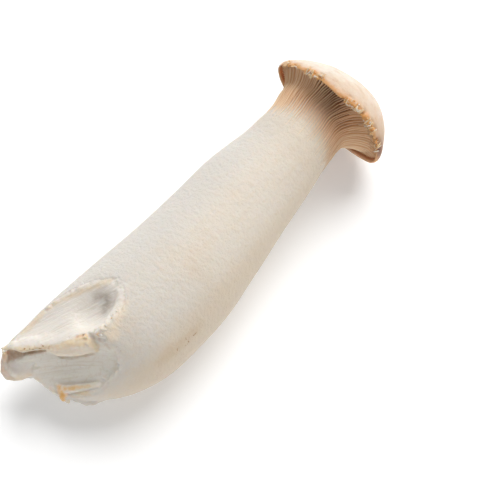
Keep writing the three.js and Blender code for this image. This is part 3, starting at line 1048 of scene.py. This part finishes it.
def crumb_tree():
    """Small uneven bits on what a share painted on the flesh says, the long ones laid towards the crown."""
    tree, given = new_group("crumbs", {
        "Share": "String", "Density": "Float", "Radius": "Float", "Stretch": "Vector", "Unevenness": "Float",
        "Least Shade": "Float", "Seed": "Int", "Material": "Material",
    }, "Crumbs")
    seed = given["Seed"]
    density = ramp(named_attribute(tree, given["Share"], "FLOAT"), 0.25, 1.0) * given["Density"]
    spread = add_node(tree, "GeometryNodeDistributePointsOnFaces",
                      {"Mesh": given["Flesh"], "Density": density, "Seed": seed}, distribute_method="RANDOM")
    ball = add_value(tree, "GeometryNodeMeshIcoSphere", {"Radius": 1.0, "Subdivisions": 2}, "Mesh")
    limits = {"Seed": seed, 0: CRUMB_LEAST, 1: CRUMB_MOST}
    sizes = add_value(tree, "FunctionNodeRandomValue", limits, data_type="FLOAT_VECTOR")
    turned = add_value(tree, "FunctionNodeAlignRotationToVector",
                       {"Rotation": Value(tree, spread.outputs["Rotation"]), "Vector": (1.0, 0.0, 0.0)},
                       axis="X", pivot_axis="Z")
    laid = add_value(tree, "GeometryNodeInstanceOnPoints", {
        "Points": Value(tree, spread.outputs["Points"]), "Instance": ball, "Rotation": turned,
        "Scale": scaled(vector_calc("MULTIPLY", sizes, given["Stretch"]), given["Radius"]),
    })
    shade = random_value(given["Least Shade"], 1.0, {"Seed": seed + 1})
    laid = store(laid, "shade", shade, "FLOAT", "INSTANCE")
    real = add_value(tree, "GeometryNodeRealizeInstances", {0: laid})
    inputs = {"Vector": position(tree), "Scale": LUMPS_A_METRE, "Detail": 2.0}
    lumps = add_value(tree, "ShaderNodeTexNoise", inputs, "Color")
    push = scaled(vector_calc("SUBTRACT", lumps, (0.5, 0.5, 0.5)), given["Unevenness"])
    shape = add_value(tree, "GeometryNodeSetPosition", {"Geometry": real, "Offset": push})
    return finish_group(shape, given["Material"])


def gill_tree(settings):
    """Blades on the bed under the cap. Where three stand at the rim, two reach the neck."""
    tree, given = new_group("gill_blades", {
        "Blades": "Int", "Rows": "Int", "Height": "Float", "Thickness": "Float", "Wander": "Float",
        "Seed": "Int", "Material": "Material",
    }, "Gills")
    blade = add_value(tree, "GeometryNodeMeshCylinder",
                      {"Vertices": 6, "Side Segments": given["Rows"], "Radius": 1.0, "Depth": 1.0}, "Mesh",
                      fill_type="TRIANGLE_FAN")
    one = add_value(tree, "GeometryNodeGeometryToInstance", {0: blade})
    many = add_node(tree, "GeometryNodeDuplicateElements", {"Geometry": one, "Amount": given["Blades"]},
                    domain="INSTANCE")
    number = Value(tree, many.outputs["Duplicate Index"])
    kept = store(Value(tree, many.outputs[0]), "blade", number, "INT", "INSTANCE")
    shape = add_value(tree, "GeometryNodeRealizeInstances", {0: kept})
    index = named_attribute(tree, "blade", "INT")
    local = add_node(tree, "ShaderNodeSeparateXYZ", {0: position(tree)}).outputs
    across_blade, up_blade, down_blade = (Value(tree, local[axis]) for axis in "XYZ")

    def chance(low, high, identity, shift):
        return random_value(low, high, {"ID": identity, "Seed": given["Seed"] + shift})

    # Where the blade runs: member 0, 1 or 2 of its group of three, of which the third ends at a fork.
    group = ((index + 0.5) / 3.0).calc("FLOOR")
    member = index - group * 3.0
    fork = chance(0.08, 0.6, group, 2)
    start = (member.calc("COMPARE", 2.0, 0.1) * fork).calc("MAXIMUM", chance(0.0, 0.16, index, 6))
    along = down_blade + 0.5
    run = start + along * (1.0 - start)
    apart = ramp(run, fork - 0.04, fork + 0.3)
    free = member + 0.5 + chance(-0.12, 0.12, index, 1)
    merged = member.calc("MINIMUM", 1.0) * 1.5 + 0.75
    turn = (free * apart + merged * (1.0 - apart) + group * 3.0) / given["Blades"]
    angle = turn * (2 * math.pi)
    spot = combined(tree, angle.calc("COSINE") * 4.0, angle.calc("SINE") * 4.0, run * 3.5)
    sway = add_value(tree, "ShaderNodeTexNoise", {"Vector": spot, "Scale": 1.0, "Detail": 3.0}, "Fac")
    turn = turn + (sway - 0.5) * given["Wander"] / given["Blades"]
    v = run * ((settings.gill_stop - settings.gill_start) / SPANS) + settings.gill_start / SPANS
    uv_map = named_attribute(tree, "round_and_along", "FLOAT_VECTOR")

    def on_flesh(value, u):
        inputs = {"Mesh": given["Flesh"], "Value": value, "UV Map": uv_map, "Sample UV": combined(tree, u, v)}
        return add_value(tree, "GeometryNodeSampleUVSurface", inputs, data_type="FLOAT_VECTOR")

    root = on_flesh(position(tree), turn.calc("FRACT"))
    beside = on_flesh(position(tree), (turn + 0.002).calc("FRACT"))
    normal = on_flesh(add_value(tree, "GeometryNodeInputNormal"), turn.calc("FRACT"))
    normal = vector_calc("NORMALIZE", normal)
    across = vector_calc("NORMALIZE", vector_calc("SUBTRACT", root, beside))

    # How far each point of the blade stands out of the bed, and to the side.
    rise = (up_blade + HALF_HEXAGON) * (1 / (2 * HALF_HEXAGON))
    height = ramp(run, 0.0, 0.7) * ramp(run, 1.0, 0.86) * given["Height"]
    height = height * chance(0.8, 1.1, index, 4) * ramp(along, 0.0, 0.12)
    sunk = ramp(run, 0.1, 0.5, SUNK_AT_NECK, SUNK_AT_RIM)
    out = rise * (height + (sunk - 0.0001)) - sunk
    side = across_blade * (1.0 - rise * 0.3) * (given["Thickness"] * 0.5)
    placed = vector_calc("ADD", vector_calc("ADD", root, scaled(normal, out)), scaled(across, side))
    for name, value in (("rise", rise), ("run", run)):
        shape = store(shape, name, value, "FLOAT", "POINT")
    shape = add_value(tree, "GeometryNodeSetPosition", {"Geometry": shape, "Position": placed})
    return finish_group(shape, given["Material"])


def grow(name, source, tree, values):
    """Runs a node tree on a copy of a piece, and returns what it makes as a plain object."""
    host = new_object(name + "_host", source.data.copy())
    modifier = host.modifiers.new(name, "NODES")
    modifier.node_group = tree
    for item in tree.interface.items_tree:
        if item.item_type == "SOCKET" and item.in_out == "INPUT" and item.name in values:
            modifier[item.identifier] = values[item.name]
    depsgraph = bpy.context.evaluated_depsgraph_get()
    mesh = bpy.data.meshes.new_from_object(host.evaluated_get(depsgraph), depsgraph=depsgraph)
    bpy.data.objects.remove(host)
    if not mesh.polygons:
        raise RuntimeError(f"nothing grew for {name}")
    mesh.name = name
    places = np.empty(len(mesh.vertices) * 3, np.float32)
    mesh.vertices.foreach_get("co", places)
    places[2::3] = np.maximum(places[2::3], 0)
    mesh.vertices.foreach_set("co", places)
    return new_object(name, mesh)


# ---- What a user can change ----

def colour_property(name, description, default):
    return FloatVectorProperty(name=name, description=description, subtype="COLOR", size=3, min=0, max=1,
                               default=default)


class MushroomColours(bpy.types.PropertyGroup):
    stem: colour_property("Stem", "Pale skin of the stem", (0.71, 0.645, 0.56))
    # Painted shade: cooler and darker skin towards the base and on the left flank.
    stem_cool_shade: colour_property("Cool stem", "Skin of the stem near its base", (0.635, 0.60, 0.55))
    # Tan blotches and streaks, and painted bounce light on the right flank.
    stem_tan_and_bounce: colour_property("Warm stem", "Tan blotches and streaks on the stem", (0.66, 0.55, 0.42))
    torn: colour_property("Torn flesh", "White flesh where neighbours were torn off", (0.765, 0.715, 0.65))
    torn_grey: colour_property("Lower scar", "Grey moist flesh of the lower scar", (0.74, 0.70, 0.63))
    straw: colour_property("Straw", "Dried thin edges of torn flesh", (0.72, 0.56, 0.35))
    orange: colour_property("Orange", "Bruised folds of torn flesh", (0.74, 0.43, 0.14))
    # Painted shade in the slots and creases of the torn base and towards the crown of the cap, and the real
    # colour of the cap's veins.
    brown_and_painted_shade: colour_property("Brown", "Shaded slots and creases", (0.58, 0.405, 0.27))
    blotch: colour_property("Blotch", "Yellowed patch low on the stem", (0.60, 0.465, 0.32))
    tan: colour_property("Tan", "Side of the thick fold", (0.80, 0.67, 0.50))
    # Painted shade in the dent and in the tongue's bowl.
    shade_grey: colour_property("Grey", "Moist flesh in the dent", (0.44, 0.385, 0.335))
    specks: colour_property("Specks", "Small dark specks on dried edges", (0.34, 0.17, 0.06))
    bruise: colour_property("Bruise", "Brown patches near the margin of the cap", (0.28, 0.14, 0.085))
    fibre: colour_property("Fibre", "Fine streaks along torn flesh", (0.66, 0.58, 0.48))
    cap: colour_property("Cap", "Skin on top of the cap", (0.74, 0.665, 0.575))
    cap_warm: colour_property("Warm cap", "Mottling on the cap", (0.70, 0.575, 0.46))
    cap_edge: colour_property("Cap margin", "Skin towards the margin of the cap", (0.70, 0.43, 0.24))
    rust: colour_property("Rust", "Crumbled margin where it has dried", (0.72, 0.34, 0.11))
    gill: colour_property("Gill", "Faces of the gills", (0.77, 0.48, 0.28))
    gill_edge: colour_property("Gill edge", "Thin pale edges of the gills", (0.90, 0.71, 0.51))
    # Painted shade: the bed between the gills and the roots of the blades.
    gill_bed_shade: colour_property("Gill valley", "Bed between the gills", (0.42, 0.19, 0.082))


def length_property(name, description, default):
    return FloatProperty(name=name, description=description, default=default, unit="LENGTH")


def number_property(name, description, default):
    return FloatProperty(name=name, description=description, default=default)


class MushroomSizes(bpy.types.PropertyGroup):
    blades: IntProperty(name="Gills", description="Number of gills at the rim", default=138, min=12)
    blade_height: length_property("Gill height", "How far a gill stands out of its bed", 0.0026)
    blade_thickness: length_property("Gill thickness", "Thickness of a gill at its root", 0.00027)
    gill_start: number_property("Gill start", "Section where gills begin on the neck", 11.2)
    gill_stop: number_property("Gill stop", "Section where gills end inside the rim", 19.3)
    crumb_radius: length_property("Crumb radius", "Radius of a large crumb", 0.00042)
    crumb_density: number_property("Crumbs", "Crumbs to a square metre of loose flesh", 1.6e6)
    flake_density: number_property("Flakes", "Flakes to a square metre of crumbled margin", 5.6e5)


# ---- Operators ----

class MUSHROOM_OT_flesh(bpy.types.Operator):
    """Stem, torn base, gill bed and cap as one skin"""

    bl_idname = "mushroom.flesh"
    bl_label = "Flesh"

    def execute(self, context):
        mesh = flesh_mesh()
        mesh.materials.append(flesh_material(context.scene.mushroom_colours))
        obj = new_object("flesh", mesh)
        place_on_mushroom(obj)
        return {"FINISHED"}


class MUSHROOM_OT_gills(bpy.types.Operator):
    """Forking gills that run from the neck to the rim"""

    bl_idname = "mushroom.gills"
    bl_label = "Gills"

    def execute(self, context):
        sizes = context.scene.mushroom_sizes
        values = {
            "Blades": sizes.blades,
            "Rows": 44,
            "Height": sizes.blade_height,
            "Thickness": sizes.blade_thickness,
            "Wander": 2.2,
            "Seed": 4,
            "Material": gill_material(context.scene.mushroom_colours),
        }
        obj = grow("gills", bpy.data.objects["flesh"], gill_tree(sizes), values)
        place_on_mushroom(obj)
        return {"FINISHED"}


class MUSHROOM_OT_crumbs(bpy.types.Operator):
    """Crumbs on the margin of the cap and on the torn edges of the base, and flakes torn up on the margin"""

    bl_idname = "mushroom.crumbs"
    bl_label = "Crumbs"

    def execute(self, context):
        sizes = context.scene.mushroom_sizes
        tree = crumb_tree()
        common = {"Radius": sizes.crumb_radius, "Material": crumb_material(context.scene.mushroom_colours)}
        kinds = {
            "crumbs": {"Share": "loose", "Density": sizes.crumb_density, "Stretch": (1.0, 1.0, 1.0),
                       "Unevenness": 1.6 * sizes.crumb_radius, "Least Shade": 0.0, "Seed": 7},
            "flakes": {"Share": "crumbled", "Density": sizes.flake_density, "Stretch": (2.9, 1.1, 0.9),
                       "Unevenness": 0.5 * sizes.crumb_radius, "Least Shade": 0.45, "Seed": 3},
        }
        for name, values in kinds.items():
            obj = grow(name, bpy.data.objects["flesh"], tree, {**common, **values})
            place_on_mushroom(obj)
        return {"FINISHED"}


class MUSHROOM_OT_stage(bpy.types.Operator):
    """Plain pale floor, soft studio light and the camera"""

    bl_idname = "mushroom.stage"
    bl_label = "Stage"

    def execute(self, context):
        scene = context.scene
        scene.view_settings.view_transform = "Standard"
        mesh = bpy.data.meshes.new("floor")
        half = 12.0
        corners = [(-half, -half, 0), (half, -half, 0), (half, half, 0), (-half, half, 0)]
        mesh.from_pydata(corners, [], [(0, 1, 2, 3)])
        floor = new_object("floor", mesh)
        material, _, shader, _ = new_material("pale_floor")
        set_inputs(shader, Base_Color=(0.86, 0.86, 0.86), Roughness=0.7, Emission_Color=(1, 1, 1),
                   Emission_Strength=0.24)
        mesh.materials.append(material)

        world = bpy.data.worlds.new("studio")
        world.use_nodes = True
        tree = world.node_tree
        towards = add_value(tree, "ShaderNodeTexCoord", output="Generated")
        height = add_value(tree, "ShaderNodeSeparateXYZ", {0: towards}, "Z")
        low = (1.0 - height.calc("MAXIMUM", 0.0)).calc("POWER", 3.0)
        glow = low * 0.2 + ramp(height, 0.2, 0.12, 0.0, 0.58) + 0.23
        set_inputs(tree.nodes["Background"], Color=(1, 1, 1), Strength=glow)
        scene.world = world

        for name, power, width, towards in (("key", 3.2, 0.9, (0.54, 0.20, 0.77)),
                                            ("fill", 0.5, 0.9, (-0.62, -0.64, 0.30))):
            light = bpy.data.lights.new(name, "SUN")
            light.energy = power
            light.angle = width
            lamp = new_object(name, light)
            towards = Vector(towards).normalized()
            lamp.location = towards
            lamp.rotation_mode = "QUATERNION"
            lamp.rotation_quaternion = towards.to_track_quat("Z", "Y")

        camera_data = bpy.data.cameras.new("camera")
        camera_data.lens = CAMERA_LENS
        camera = new_object("camera", camera_data)
        shift = Vector((-BOX_MIDDLE[0], -BOX_MIDDLE[1], REST_HEIGHT))
        camera.location = (Vector(CAMERA_PLACE) + shift) * MM
        a, e = CAMERA_AZIMUTH, CAMERA_ELEVATION
        back = Vector((math.sin(a) * math.cos(e), -math.cos(a) * math.cos(e), math.sin(e)))
        camera.rotation_mode = "QUATERNION"
        camera.rotation_quaternion = (-back).to_track_quat("-Z", "Y")
        scene.camera = camera
        return {"FINISHED"}


class MUSHROOM_PT_panel(bpy.types.Panel):
    """Lists the steps and the sizes and colours"""

    bl_label = "King oyster mushroom"
    bl_idname = "MUSHROOM_PT_panel"
    bl_space_type = "VIEW_3D"
    bl_region_type = "UI"
    bl_category = "Mushroom"

    def draw(self, context):
        for step in STEPS:
            self.layout.operator(step.bl_idname)
        for group in (context.scene.mushroom_sizes, context.scene.mushroom_colours):
            for name in group.bl_rna.properties.keys():
                if name not in ("rna_type", "name"):
                    self.layout.prop(group, name)


STEPS = (MUSHROOM_OT_stage, MUSHROOM_OT_flesh, MUSHROOM_OT_gills, MUSHROOM_OT_crumbs)
CLASSES = (MushroomColours, MushroomSizes, *STEPS, MUSHROOM_PT_panel)


def register():
    for cls in CLASSES:
        bpy.utils.register_class(cls)
    bpy.types.Scene.mushroom_colours = PointerProperty(type=MushroomColours)
    bpy.types.Scene.mushroom_sizes = PointerProperty(type=MushroomSizes)


def unregister():
    del bpy.types.Scene.mushroom_sizes
    del bpy.types.Scene.mushroom_colours
    for cls in reversed(CLASSES):
        bpy.utils.unregister_class(cls)


def main():
    register()
    for step in STEPS:
        group, name = step.bl_idname.split(".")
        getattr(getattr(bpy.ops, group), name)()


if __name__ == "__main__":
    main()
